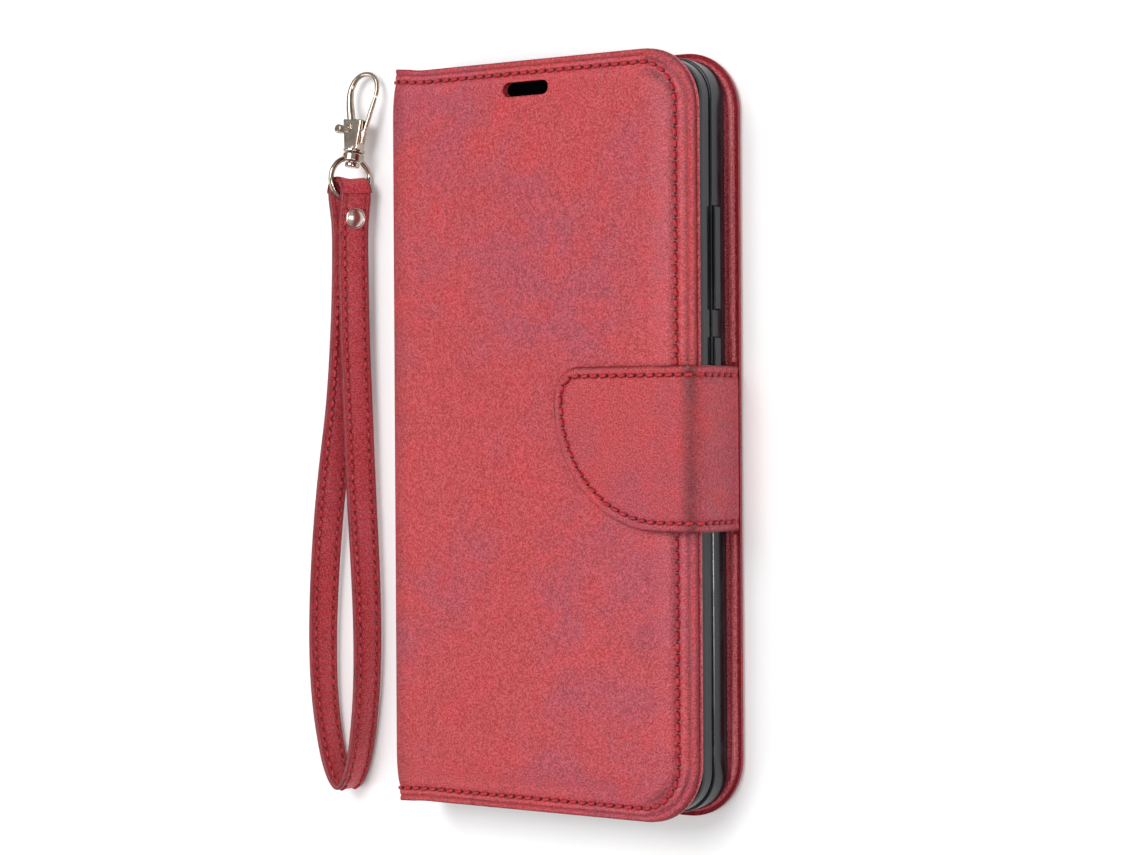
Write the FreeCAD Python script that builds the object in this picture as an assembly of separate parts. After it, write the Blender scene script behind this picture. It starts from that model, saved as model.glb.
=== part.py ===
import FreeCAD, Part
import math
import os
from FreeCAD import Matrix, Placement, Vector

# Folio phone case with a wrist strap, lying on its back on a table, in millimetres.
# X runs from the spine to the open side, Y towards the top of the phone, Z up out of the front cover.
# The origin is at the bottom centre of the case.

# ---------------------------------------------------------------- driving dimensions
CASE_HEIGHT = 163.0
CASE_THICK = 15.5
SPINE_X = -41.45          # outer face of the spine
FRONT_X = 39.55           # open edge of the front cover
BACK_X = 41.45            # open edge of the back cover
COVER_CORNER = 13.0       # radius of the covers' free corners
SPINE_CORNER = 0.8        # radius of the covers' corners beside the spine

BACK_LEATHER = 0.8
BACK_BOARD = 0.5
BACK_THICK = 2.0
BACK_EDGE_STEP = 0.9      # the lining stops short of the leather's edge

FRONT_LINING = 0.4
FRONT_BOARD = 0.5
FRONT_PAD = 0.3
FRONT_THICK = 2.0
RIM = 1.2                 # turned-in leather round the boards

SPINE_THICK = 1.6
SPINE_LINING = 0.6
CREASE = 1.2              # the fold axes lie this far in from the outer faces
CREASE_GAP = 0.6          # free leather between a fold axis and a cover

TRAY_X0, TRAY_X1 = -38.9, 38.8
TRAY_HALF = 79.9
TRAY_TOP = 12.15
TRAY_WALL = 1.2
TRAY_FLOOR = 1.0
TRAY_LIP = 0.9
TRAY_LIP_REACH = 1.4
TRAY_CORNER = 9.0
TRAY_TOP_ROUND, TRAY_LOW_ROUND = 1.6, 1.2
TRAY_LEDGE_Z = 7.9        # the wall steps in above this height
TRAY_LEDGE = 0.45
TRAY_LEDGE_ROUND = 0.38

WINDOW_CENTRE = (21.0, 58.0)
WINDOW_SIZE = (18.0, 34.0)
WINDOW_CORNER = 5.0
PORT_WIDTH, PORT_HEIGHT = 14.0, 5.4

BUTTON_Z = 6.4
BUTTON_TALL = 2.4
BUTTON_PROUD = 0.6
BUTTON_PLAY = 0.12
VOLUME_Y, VOLUME_LONG = 37.3, 21.8
POWER_Y, POWER_LONG = 15.3, 10.6

SLOT_CENTRE = (-4.2, 75.3)
SLOT_SIZE = (12.1, 3.1)

STITCH_RIGHT = 4.95       # stitch line in from the open edge
STITCH_TOP = 2.8          # and in from the top and bottom edges
STITCH_CORNER = 9.0
THREAD = 0.5
THREAD_PROUD = 0.15

POCKET_SHEET = 0.27
POCKET_X0, POCKET_X1 = -33.5, 33.5
POCKET_BOTTOM = -72.0
CARD_SLOT_TOPS = (38.0, 24.0, 10.0)
CASH_POCKET_TOP = 52.0
NOTCH_RADIUS = 9.0

CLASP_Y0, CLASP_Y1 = -20.3, 14.6
CLASP_THICK = 1.4
CLASP_LINING = 0.4
CLASP_OUTER_X = 41.2
CLASP_GAP = 0.15          # tongue above the front cover
FOLD_INSET = 0.4          # clasp fold axes in from the inner faces
FOLD_GAP = 0.45           # free leather each side of a clasp fold
TONGUE_TIP_X = 4.0
TONGUE_CORNER = 6.5
TONGUE_SWEEP = [(6.1, -2.0), (11.5, -10.9), (23.1, -17.9)]    # from the tip round to the lower edge
TONGUE_STITCH = 2.0       # stitch line in from the tongue's edge
MAGNET_RADIUS, MAGNET_THICK = 6.0, 0.5
MAGNET_XY = (16.0, -1.0)

STRAP_WIDE = 7.3
STRAP_THICK = 1.4
STRAP_LEAN = math.radians(22.0)
STRAP_END_Y = -82.3
STRAP_RISE = math.degrees(math.asin(2.05 / 136.85))
RING_RADIUS, RING_WIRE = 4.95, 0.65
RING_FOLD_Y = 54.55       # the ring's wire inside the strap's fold
RIVET_Y = 50.0
HEAD_THICK = 1.0          # leather over the top of the ring fold
HOOK_DROP = math.radians(9.6)
HEAD_HALF = 2.7           # half the thickness of the folded end
POCKET_WIRE_SIDE = 0.95   # the fold grips the ring's wire this far each side
POCKET_IN, POCKET_OUT = 1.6, 2.05     # room for the ring to swing
POCKET_DEEP = 3.3
RIVET_CAP_RADIUS, RIVET_CAP_THICK = 2.6, 0.7
RIVET_FOOT_RADIUS, RIVET_FOOT_THICK = 2.2, 0.4
RIVET_POST_RADIUS = 0.8

STEM_RADIUS = 0.85
STEM_PLAY = 0.15
HUB_RADIUS, HUB_HALF = 2.5, 1.0
HUB_GAP = 0.2             # end play between the hub and the hook's flange
PEEN_RADIUS, PEEN_THICK = 1.7, 1.1
FLANGE_RADIUS, FLANGE_THICK = 2.6, 0.8
HOOK_THICK = 2.6
BASE_THICK = 4.2
BASE_END_Y = 9.4
BASE_ROUND = 0.5
EYE_CENTRE_Y = 15.8
EYE_OUTER, EYE_INNER = 4.15, 2.6
GATE_PIN = (-1.7, 7.0)    # across and along the hook, from the hub's centre
GATE_PIN_RADIUS = 0.5
GATE_REACH = 9.0          # the gate bar's tip from the pin
GATE_TIP_PLAY = 0.15
LEVER_THICK = 1.5
LEVER_PLAY = 0.12
SPRING_OUTER, SPRING_INNER = 1.15, 0.62
THUMB_RADIUS, THUMB_WIDE = 0.9, 3.4

half = CASE_HEIGHT / 2
front_z0 = CASE_THICK - FRONT_THICK
fold_x = SPINE_X + CREASE
cover_x0 = fold_x + CREASE_GAP


# ---------------------------------------------------------------- helpers
def save(name, shape):
    shape.exportStep("parts/%s.step" % name)


def rounded_wire(x0, x1, y0, y1, left, right, z):
    """Rectangle with its left and its right corners rounded by two radii."""
    corners = [(x1, y0, right, -90), (x1, y1, right, 0), (x0, y1, left, 90), (x0, y0, left, 180)]
    arcs = []
    for x, y, radius, start in corners:
        cx = x - radius if x == x1 else x + radius
        cy = y - radius if y == y1 else y + radius
        points = []
        for turn in (0, 45, 90):
            angle = math.radians(start + turn)
            points.append(Vector(cx + radius * math.cos(angle), cy + radius * math.sin(angle), z))
        arcs.append(points)
    edges = []
    for here, after in zip(arcs, arcs[1:] + arcs[:1]):
        edges.append(Part.Arc(*here).toShape())
        edges.append(Part.LineSegment(here[2], after[0]).toShape())
    return Part.Wire(edges)


def slab(x0, x1, y0, y1, z0, z1, left, right):
    face = Part.Face(rounded_wire(x0, x1, y0, y1, left, right, z0))
    return face.extrude(Vector(0, 0, z1 - z0))


def box(x0, x1, y0, y1, z0, z1):
    return Part.makeBox(x1 - x0, y1 - y0, z1 - z0, Vector(x0, y0, z0))


def disc(x, y, z0, z1, radius):
    return Part.makeCylinder(radius, z1 - z0, Vector(x, y, z0))


def cover_slab(x1, z0, z1, inset=0.0):
    """Slab with a cover's outline, drawn in by inset on its free sides."""
    return slab(cover_x0 + inset, x1 - inset, inset - half, half - inset, z0, z1,
                SPINE_CORNER, COVER_CORNER - inset)


def centred_slab(centre, size, z0, z1, corner):
    x, y = centre
    wide, tall = size[0] / 2, size[1] / 2
    return slab(x - wide, x + wide, y - tall, y + tall, z0, z1, corner, corner)


def stitch_band(x1, z0, z1):
    """Thread line along the top, the open side and the bottom of a cover."""
    def loop(inset):
        return slab(cover_x0 - 1, x1 - STITCH_RIGHT - inset, STITCH_TOP + inset - half,
                    half - STITCH_TOP - inset, z0, z1, SPINE_CORNER, STITCH_CORNER - inset)
    band = loop(0).cut(loop(THREAD))
    return band.common(box(cover_x0 + 0.5, x1, -half, half, z0, z1))


# ---------------------------------------------------------------- back cover
def back_cover():
    window = centred_slab(WINDOW_CENTRE, WINDOW_SIZE, -1, 5, WINDOW_CORNER)
    wider = centred_slab(WINDOW_CENTRE, (WINDOW_SIZE[0] + 3, WINDOW_SIZE[1] + 3), -1, 5, WINDOW_CORNER + 1.5)
    clasp_notch = box(FRONT_X - 0.15, BACK_X + 1, CLASP_Y0 - 0.8, CLASP_Y1 + 0.8, BACK_LEATHER, 5)
    lining_x1 = BACK_X - BACK_EDGE_STEP

    thread = stitch_band(BACK_X, 0, THREAD_PROUD * 2)
    leather = cover_slab(BACK_X, 0, BACK_LEATHER).cut(window).cut(thread)
    board_top = BACK_LEATHER + BACK_BOARD
    board = cover_slab(lining_x1, BACK_LEATHER, board_top, 2.5).cut(wider)
    lining = cover_slab(lining_x1, BACK_LEATHER, BACK_THICK).cut(board).cut(window).cut(clasp_notch)

    save("back_leather", leather)
    save("back_thread", thread)
    save("back_board", board)
    save("back_lining", lining)
    return window


# ---------------------------------------------------------------- phone tray and its buttons
def button_block(y, long, play, x0, x1):
    reach = long / 2 + play
    tall = BUTTON_TALL / 2 + play
    return box(x0, x1, y - reach, y + reach, BUTTON_Z - tall, BUTTON_Z + tall)


def phone_tray(window):
    lower = slab(TRAY_X0, TRAY_X1, -TRAY_HALF, TRAY_HALF, BACK_THICK, TRAY_LEDGE_Z, TRAY_CORNER, TRAY_CORNER)
    ledge_edges = [e for e in lower.Edges if e.BoundBox.ZMin > TRAY_LEDGE_Z - 0.01]
    lower = lower.makeFillet(TRAY_LEDGE_ROUND, ledge_edges)
    low_edges = [e for e in lower.Edges if e.BoundBox.ZMax < BACK_THICK + 0.01]
    lower = lower.makeFillet(TRAY_LOW_ROUND, low_edges)
    upper_corner = TRAY_CORNER - TRAY_LEDGE
    upper = slab(TRAY_X0 + TRAY_LEDGE, TRAY_X1 - TRAY_LEDGE, TRAY_LEDGE - TRAY_HALF, TRAY_HALF - TRAY_LEDGE,
                 TRAY_LEDGE_Z - 1, TRAY_TOP, upper_corner, upper_corner)
    top_edges = [e for e in upper.Edges if e.BoundBox.ZMin > TRAY_TOP - 0.01]
    upper = upper.makeFillet(TRAY_TOP_ROUND, top_edges)
    outer = lower.fuse(upper).removeSplitter()
    inner = slab(TRAY_X0 + TRAY_WALL, TRAY_X1 - TRAY_WALL, TRAY_WALL - TRAY_HALF, TRAY_HALF - TRAY_WALL,
                 BACK_THICK + TRAY_FLOOR, TRAY_TOP - TRAY_LIP,
                 TRAY_CORNER - TRAY_WALL, TRAY_CORNER - TRAY_WALL)
    reach = TRAY_WALL + TRAY_LIP_REACH
    mouth = slab(TRAY_X0 + reach, TRAY_X1 - reach, reach - TRAY_HALF, TRAY_HALF - reach,
                 TRAY_TOP - TRAY_LIP - 1, TRAY_TOP + 1, TRAY_CORNER - reach, TRAY_CORNER - reach)
    port = box(-PORT_WIDTH / 2, PORT_WIDTH / 2, -TRAY_HALF - 1, -TRAY_HALF + TRAY_WALL + 1,
               BUTTON_Z - PORT_HEIGHT / 2, BUTTON_Z + PORT_HEIGHT / 2)
    tray = outer.cut(inner).cut(mouth).cut(port).cut(window)

    wall_x0 = TRAY_X1 - TRAY_WALL
    for name, y, long in (("volume_button", VOLUME_Y, VOLUME_LONG), ("power_button", POWER_Y, POWER_LONG)):
        tray = tray.cut(button_block(y, long, BUTTON_PLAY, wall_x0 - 1, TRAY_X1 + 1))
        cap = button_block(y, long, 0, wall_x0, TRAY_X1 + BUTTON_PROUD)
        outer_edges = [e for e in cap.Edges if min(v.X for v in e.Vertexes) > TRAY_X1]
        save(name, cap.makeFillet(0.35, outer_edges))
    save("phone_tray", tray)


# ---------------------------------------------------------------- spine
def spine():
    z0, z1 = CREASE, CASE_THICK - CREASE
    seam_x = SPINE_X + SPINE_THICK - SPINE_LINING
    save("spine_leather", box(SPINE_X, seam_x, -half, half, z0, z1))
    save("spine_lining", box(seam_x, SPINE_X + SPINE_THICK, -half, half, z0, z1))


# ---------------------------------------------------------------- front cover
def front_cover():
    slot = centred_slab(SLOT_CENTRE, SLOT_SIZE, front_z0 - 2, CASE_THICK + 1, SLOT_SIZE[1] / 2 - 0.01)
    slot_rim = centred_slab(SLOT_CENTRE, (SLOT_SIZE[0] + 2, SLOT_SIZE[1] + 2), front_z0 - 2, CASE_THICK + 1,
                            SLOT_SIZE[1] / 2)
    lining_top = front_z0 + FRONT_LINING
    board_top = lining_top + FRONT_BOARD
    pad_top = board_top + FRONT_PAD
    magnet = disc(MAGNET_XY[0], MAGNET_XY[1], lining_top, lining_top + MAGNET_THICK, MAGNET_RADIUS)

    lining = cover_slab(FRONT_X, front_z0, lining_top).cut(slot)
    core = cover_slab(FRONT_X, lining_top, board_top, RIM).cut(slot_rim)
    pad = cover_slab(FRONT_X, board_top, pad_top, RIM).cut(slot_rim)
    leather = cover_slab(FRONT_X, lining_top, CASE_THICK).cut(core).cut(pad).cut(slot)
    thread = stitch_band(FRONT_X, CASE_THICK, CASE_THICK + THREAD_PROUD)

    save("front_lining", lining)
    save("front_board", core.cut(magnet))
    save("front_padding", pad)
    save("front_leather", leather)
    save("front_thread", thread)
    save("cover_magnet", magnet)


def pocket_sheet(top, level):
    z1 = front_z0 - level * POCKET_SHEET
    z0 = z1 - POCKET_SHEET
    return slab(POCKET_X0, POCKET_X1, POCKET_BOTTOM, top, z0, z1, 2.0, 2.0)


def card_pockets():
    save("cash_pocket", pocket_sheet(CASH_POCKET_TOP, 0))
    for number, top in enumerate(CARD_SLOT_TOPS, 1):
        sheet = pocket_sheet(top, number)
        notch = disc(0, top + NOTCH_RADIUS * 0.6, 0, CASE_THICK, NOTCH_RADIUS)
        save("card_slot_%d" % number, sheet.cut(notch))
    z1 = front_z0 - (len(CARD_SLOT_TOPS) + 1) * POCKET_SHEET
    seam_top = CARD_SLOT_TOPS[-1] - 2
    seams = []
    for x in (POCKET_X0 + 1.5, POCKET_X1 - 1.5):
        seams.append(box(x - THREAD / 2, x + THREAD / 2, POCKET_BOTTOM + 2, seam_top, z1 - 0.08, z1))
    save("pocket_thread", Part.makeCompound(seams))


# ---------------------------------------------------------------- magnetic clasp
def tongue_wire(z, x1, inset=0.0):
    """Flat top edge, a tight upper corner, and one long curve round the tip to the lower edge."""
    corner = TONGUE_CORNER - inset
    tip_x, top_y = TONGUE_TIP_X + inset, CLASP_Y1 - inset
    top_left = Vector(tip_x + corner, top_y, z)
    tip = Vector(tip_x, top_y - corner, z)
    diagonal = corner * (1 - math.sqrt(0.5))
    mid = Vector(tip_x + diagonal, top_y - diagonal, z)
    middle = Vector(x1, 0, z)
    sweep = [tip]
    for x, y in TONGUE_SWEEP:
        point = Vector(x, y, z)
        sweep.append(point + (middle - point).normalize() * inset)
    sweep.append(Vector(x1, CLASP_Y0 + inset, z))
    curve = Part.BSplineCurve()
    curve.interpolate(Points=sweep, InitialTangent=Vector(0, -1, 0), FinalTangent=Vector(1, 0, 0))
    start = Vector(x1, top_y, z)
    return Part.Wire([Part.LineSegment(start, top_left).toShape(), Part.Arc(top_left, mid, tip).toShape(),
                      curve.toShape(), Part.LineSegment(sweep[-1], start).toShape()])


def clasp():
    inner_x = CLASP_OUTER_X - CLASP_THICK
    axis_x = inner_x + FOLD_INSET
    low_axis_z = BACK_LEATHER + 0.1 + (CLASP_OUTER_X - axis_x)
    tongue_z0 = CASE_THICK + CLASP_GAP
    high_axis_z = tongue_z0 + FOLD_INSET
    side_z0 = low_axis_z - FOLD_INSET
    side_z1 = high_axis_z - FOLD_GAP
    seam_x = inner_x + CLASP_LINING
    save("clasp_side_leather", box(seam_x, CLASP_OUTER_X, CLASP_Y0, CLASP_Y1, side_z0, side_z1))
    save("clasp_side_lining", box(inner_x, seam_x, CLASP_Y0, CLASP_Y1, side_z0, side_z1))

    tongue_x1 = axis_x - FOLD_GAP
    seam_z = tongue_z0 + CLASP_LINING
    tongue_z1 = tongue_z0 + CLASP_THICK
    magnet = disc(MAGNET_XY[0], MAGNET_XY[1], seam_z, seam_z + MAGNET_THICK, MAGNET_RADIUS)
    lower = Part.Face(tongue_wire(tongue_z0, tongue_x1))
    upper = Part.Face(tongue_wire(seam_z, tongue_x1))
    lift = Vector(0, 0, THREAD_PROUD)
    outside = Part.Face(tongue_wire(tongue_z1, tongue_x1 - 2.6, TONGUE_STITCH)).extrude(lift)
    inside = Part.Face(tongue_wire(tongue_z1, tongue_x1, TONGUE_STITCH + THREAD)).extrude(lift)
    thread = outside.cut(inside)
    save("tongue_lining", lower.extrude(Vector(0, 0, CLASP_LINING)))
    save("tongue_leather", upper.extrude(Vector(0, 0, CLASP_THICK - CLASP_LINING)).cut(magnet))
    save("tongue_magnet", magnet)
    save("tongue_thread", thread)


# ---------------------------------------------------------------- wrist strap
LEAN_UP = Vector(-math.sin(STRAP_LEAN), 0, math.cos(STRAP_LEAN))      # across the band, upwards
LEAN_OUT = Vector(math.cos(STRAP_LEAN), 0, math.sin(STRAP_LEAN))      # out of the band's face

# Centre lines of the two limbs where they touch the table, from the ring end to the loop's far fold.
RIGHT_LIMB = [(48.0, -59.7), (34.0, -59.65), (20.0, -59.5), (6.0, -58.95), (-8.0, -58.5), (-22.0, -57.8),
              (-36.0, -57.15), (-48.0, -57.0), (-60.0, -57.55), (-71.0, -59.1), (-78.0, -61.6)]
LEFT_LIMB = [(48.0, -61.2), (34.0, -61.65), (20.0, -62.6), (6.0, -64.1), (-8.0, -66.7), (-22.0, -68.7),
             (-36.0, -70.0), (-48.0, -70.6), (-60.0, -70.4), (-71.0, -68.9), (-78.0, -66.3)]
FAR_FOLD = (-81.2, -64.0)
JOINED_FROM = 1           # the limbs part below this point of the lists


def raised(shape):
    """Lift the ring end, so that the ring clears the table while the loop's fold rests on it."""
    shape = shape.copy()
    shape.rotate(Vector(0, STRAP_END_Y, 0), Vector(1, 0, 0), STRAP_RISE)
    return shape


def lean_extrude(face, across=STRAP_WIDE):
    return face.extrude(LEAN_UP * across)


def limb_line(points, offset):
    return [Vector(x + offset, y, 0) for y, x in points]


def smooth_edge(points):
    curve = Part.BSplineCurve()
    curve.interpolate(Points=points)
    return curve.toShape()


def loop_face():
    """Both limbs between their outer faces, less the loop's inside."""
    reach = STRAP_THICK / 2 / math.cos(STRAP_LEAN)
    fold_out = Vector(FAR_FOLD[1], FAR_FOLD[0] - STRAP_THICK / 2, 0)
    fold_in = Vector(FAR_FOLD[1], FAR_FOLD[0] + STRAP_THICK / 2 + 0.4, 0)
    outer_right = limb_line(RIGHT_LIMB, reach) + [fold_out]
    outer_left = limb_line(LEFT_LIMB, -reach) + [fold_out]
    inner_right = limb_line(RIGHT_LIMB[JOINED_FROM:], -reach) + [fold_in]
    inner_left = limb_line(LEFT_LIMB[JOINED_FROM:], reach) + [fold_in]
    top = Part.LineSegment(outer_left[0], outer_right[0]).toShape()
    inner_top = Part.LineSegment(inner_left[0], inner_right[0]).toShape()
    outer = Part.Wire([top, smooth_edge(outer_right), smooth_edge(outer_left)])
    inner = Part.Wire([inner_top, smooth_edge(inner_right), smooth_edge(inner_left)])
    return Part.Face(outer).cut(Part.Face(inner))


def strap_band():
    """The loop, and the folded end that wraps the ring's wire."""
    x = (RIGHT_LIMB[0][1] + LEFT_LIMB[0][1]) / 2
    joined_half = STRAP_THICK / math.cos(STRAP_LEAN) + 0.05
    slot_top = RING_FOLD_Y + POCKET_DEEP
    neck = Part.Face(rounded_wire(x - joined_half, x + joined_half, RIGHT_LIMB[0][0] - 0.1, RING_FOLD_Y,
                                  0.05, 0.05, 0))
    head = Part.Face(rounded_wire(x - HEAD_HALF, x + HEAD_HALF, RING_FOLD_Y - 2.3, slot_top + HEAD_THICK,
                                  HEAD_HALF - 0.4, HEAD_HALF - 0.4, 0))
    pocket = [(-POCKET_WIRE_SIDE, -1.0), (POCKET_WIRE_SIDE, -1.0), (POCKET_IN, 2.2), (POCKET_IN, POCKET_DEEP),
              (-POCKET_OUT, POCKET_DEEP), (-POCKET_OUT, 2.2)]
    corners = [Vector(x + side / math.cos(STRAP_LEAN), RING_FOLD_Y + along, 0) for side, along in pocket]
    slot = Part.Face(Part.makePolygon(corners + corners[:1]))
    band = lean_extrude(loop_face()).fuse([lean_extrude(neck), lean_extrude(head)])
    band = band.cut(lean_extrude(slot)).removeSplitter()
    middle = Vector(x, RIVET_Y, 0) + LEAN_UP * (STRAP_WIDE / 2)
    hole = Part.makeCylinder(RIVET_POST_RADIUS, 12, middle - LEAN_OUT * 6, LEAN_OUT)
    band = band.cut(hole)
    cap_face = middle + LEAN_OUT * (joined_half * math.cos(STRAP_LEAN))
    back_face = middle - LEAN_OUT * (joined_half * math.cos(STRAP_LEAN))
    cap = Part.makeCylinder(RIVET_CAP_RADIUS, RIVET_CAP_THICK, cap_face, LEAN_OUT)
    outer_edges = [e for e in cap.Edges if (e.CenterOfMass - cap_face).dot(LEAN_OUT) > RIVET_CAP_THICK - 0.1]
    cap = cap.makeFillet(0.5, outer_edges)
    post = Part.makeCylinder(RIVET_POST_RADIUS, (cap_face - back_face).Length, back_face, LEAN_OUT)
    foot_face = back_face - LEAN_OUT * RIVET_FOOT_THICK
    foot = Part.makeCylinder(RIVET_FOOT_RADIUS, RIVET_FOOT_THICK, foot_face, LEAN_OUT)
    save("strap_band", raised(band))
    save("rivet_cap", raised(cap))
    save("rivet_post", raised(post.fuse(foot)))


def frame_placement(x_axis, y_axis, z_axis, origin):
    matrix = Matrix(x_axis.x, y_axis.x, z_axis.x, origin.x,
                    x_axis.y, y_axis.y, z_axis.y, origin.y,
                    x_axis.z, y_axis.z, z_axis.z, origin.z,
                    0, 0, 0, 1)
    return Placement(matrix)


def placed(shape, placement):
    shape = shape.copy()
    shape.Placement = placement.multiply(shape.Placement)
    return shape


def swivel_frames():
    """Frames of the ring (its centre) and of the hook (the hub's centre), in the case's frame."""
    turn = FreeCAD.Rotation(Vector(1, 0, 0), STRAP_RISE)
    pivot = Vector(0, STRAP_END_Y, 0)
    x = (RIGHT_LIMB[0][1] + LEFT_LIMB[0][1]) / 2
    wire_point = Vector(x, RING_FOLD_Y, 0) + LEAN_UP * (STRAP_WIDE / 2)
    wire_point = pivot + turn.multVec(wire_point - pivot)
    along = turn.multVec(Vector(0, 1, 0))
    down = turn.multVec(LEAN_UP * -1)
    out = turn.multVec(LEAN_OUT)
    centre = wire_point + along * RING_RADIUS
    stem = along * math.cos(HOOK_DROP) + down * math.sin(HOOK_DROP)
    across = stem.cross(out)
    ring = frame_placement(across, stem, out, centre)
    hub = centre + stem * RING_RADIUS
    up = (Vector(0, 0, 1) - stem * stem.z).normalize()
    hook = frame_placement(stem.cross(up), stem, up, hub)
    return ring, hook


# ---------------------------------------------------------------- swivel hook
def swivel_ring():
    """Round ring with a short hub that the hook's stem turns in; built with the hub on +Y."""
    ring = Part.makeTorus(RING_RADIUS, RING_WIRE, Vector(0, 0, 0), Vector(0, 0, 1))
    hub = Part.makeCylinder(HUB_RADIUS, HUB_HALF * 2, Vector(0, RING_RADIUS - HUB_HALF, 0), Vector(0, 1, 0))
    hub = hub.makeFillet(0.4, hub.Edges[0:1] + hub.Edges[2:3])
    bore = Part.makeCylinder(STEM_RADIUS + STEM_PLAY, 6, Vector(0, RING_RADIUS - 3, 0), Vector(0, 1, 0))
    return ring.fuse(hub).cut(bore).removeSplitter()


def polygon(points, z0, z1):
    corners = [Vector(x, y, z0) for x, y in points]
    return Part.Face(Part.makePolygon(corners + corners[:1])).extrude(Vector(0, 0, z1 - z0))


def hook_body():
    """Peened stem, flange, tapered base with a slot for the lever, and the hook round the eye."""
    gap = HUB_HALF + HUB_GAP
    stem = Part.makeCylinder(STEM_RADIUS, gap * 2 + 1.0, Vector(0, -gap - 0.5, 0), Vector(0, 1, 0))
    peen = Part.makeCylinder(PEEN_RADIUS, PEEN_THICK, Vector(0, -gap - PEEN_THICK, 0), Vector(0, 1, 0))
    peen = peen.makeFillet(0.35, [peen.Edges[2]])
    flange = Part.makeCylinder(FLANGE_RADIUS, FLANGE_THICK, Vector(0, gap, 0), Vector(0, 1, 0))
    base_z = BASE_THICK / 2
    base_y = gap + FLANGE_THICK - 0.1
    base = polygon([(-2.8, base_y), (2.8, base_y), (3.4, BASE_END_Y), (-3.7, BASE_END_Y)], -base_z, base_z)
    base = base.makeFillet(BASE_ROUND, [e for e in base.Edges if e.CenterOfMass.y < BASE_END_Y - 0.1])
    limb_z = HOOK_THICK / 2
    limb = polygon([(-EYE_OUTER, EYE_CENTRE_Y), (-EYE_INNER, EYE_CENTRE_Y), (-1.9, 11.5), (-0.7, 9.0),
                    (-3.7, 8.6)], -limb_z, limb_z)
    eye_hole = disc(0, EYE_CENTRE_Y, -limb_z, limb_z, EYE_INNER)
    eye = disc(0, EYE_CENTRE_Y, -limb_z, limb_z, EYE_OUTER).cut(eye_hole)
    lower_left = box(-6, 0, 10, EYE_CENTRE_Y, -limb_z, limb_z)
    gate_sweep = disc(GATE_PIN[0], GATE_PIN[1], -limb_z, limb_z, GATE_REACH + GATE_TIP_PLAY)
    right_half = box(0, 8, 8, 20, -limb_z, limb_z)
    eye = eye.cut(lower_left).cut(gate_sweep.common(right_half))
    hook = limb.fuse(eye).removeSplitter()
    body = base.fuse(hook)
    slot_z = LEVER_THICK / 2 + LEVER_PLAY
    for x0, y0, y1 in ((-8, 4.0, 9.2), (-2.7, 4.0, 10.9), (0.3, 2.6, 12)):
        body = body.cut(box(x0, 8, y0, y1, -slot_z, slot_z))
    pin_hole = disc(GATE_PIN[0], GATE_PIN[1], -base_z - 1, base_z + 1, GATE_PIN_RADIUS + 0.05)
    body = body.cut(pin_hole)
    return body.fuse([stem, peen, flange]).removeSplitter()


def gate_lever():
    """Lever with a thumb tab on the left of its pin and the gate bar that closes the eye on the right."""
    lever_z = LEVER_THICK / 2
    arm = polygon([(-2.9, 5.8), (0.6, 5.3), (1.6, 3.0), (2.7, 3.0), (3.6, 9.7), (4.2, 14.0), (4.2, 18.0),
                   (3.1, 18.0), (3.0, 14.0), (1.7, 9.7), (-0.7, 8.7), (-2.9, 8.4)], -lever_z, lever_z)
    tab = polygon([(-6.4, 6.2), (-2.6, 5.8), (-2.6, 8.4), (-6.2, 7.9)], -lever_z, lever_z)
    reach = disc(GATE_PIN[0], GATE_PIN[1], -lever_z, lever_z, GATE_REACH)
    thumb = Part.makeCylinder(THUMB_RADIUS, THUMB_WIDE, Vector(-6.2, 7.0, -THUMB_WIDE / 2), Vector(0, 0, 1))
    eyelet = disc(GATE_PIN[0], GATE_PIN[1], -lever_z - 1, lever_z + 1, GATE_PIN_RADIUS + 0.1)
    spring_pocket = disc(GATE_PIN[0], GATE_PIN[1], 0, lever_z + 1, SPRING_OUTER + 0.1)
    lever = arm.fuse(tab).common(reach).fuse(thumb).removeSplitter()
    return lever.cut(eyelet).cut(spring_pocket)


def swivel_hook():
    ring, hook = swivel_frames()
    base_z = BASE_THICK / 2
    pin = disc(GATE_PIN[0], GATE_PIN[1], -base_z - 0.15, base_z + 0.15, GATE_PIN_RADIUS)
    spring = disc(GATE_PIN[0], GATE_PIN[1], 0.1, LEVER_THICK / 2, SPRING_OUTER)
    spring = spring.cut(disc(GATE_PIN[0], GATE_PIN[1], 0, LEVER_THICK, SPRING_INNER))
    save("swivel_ring", placed(swivel_ring(), ring))
    save("hook_body", placed(hook_body(), hook))
    save("gate_lever", placed(gate_lever(), hook))
    save("gate_pin", placed(pin, hook))
    save("gate_spring", placed(spring, hook))


os.makedirs("parts", exist_ok=True)
window = back_cover()
phone_tray(window)
spine()
front_cover()
card_pockets()
clasp()
strap_band()
swivel_hook()
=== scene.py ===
import math
import random

import bmesh
import bpy
from mathutils import Matrix, Vector


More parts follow.
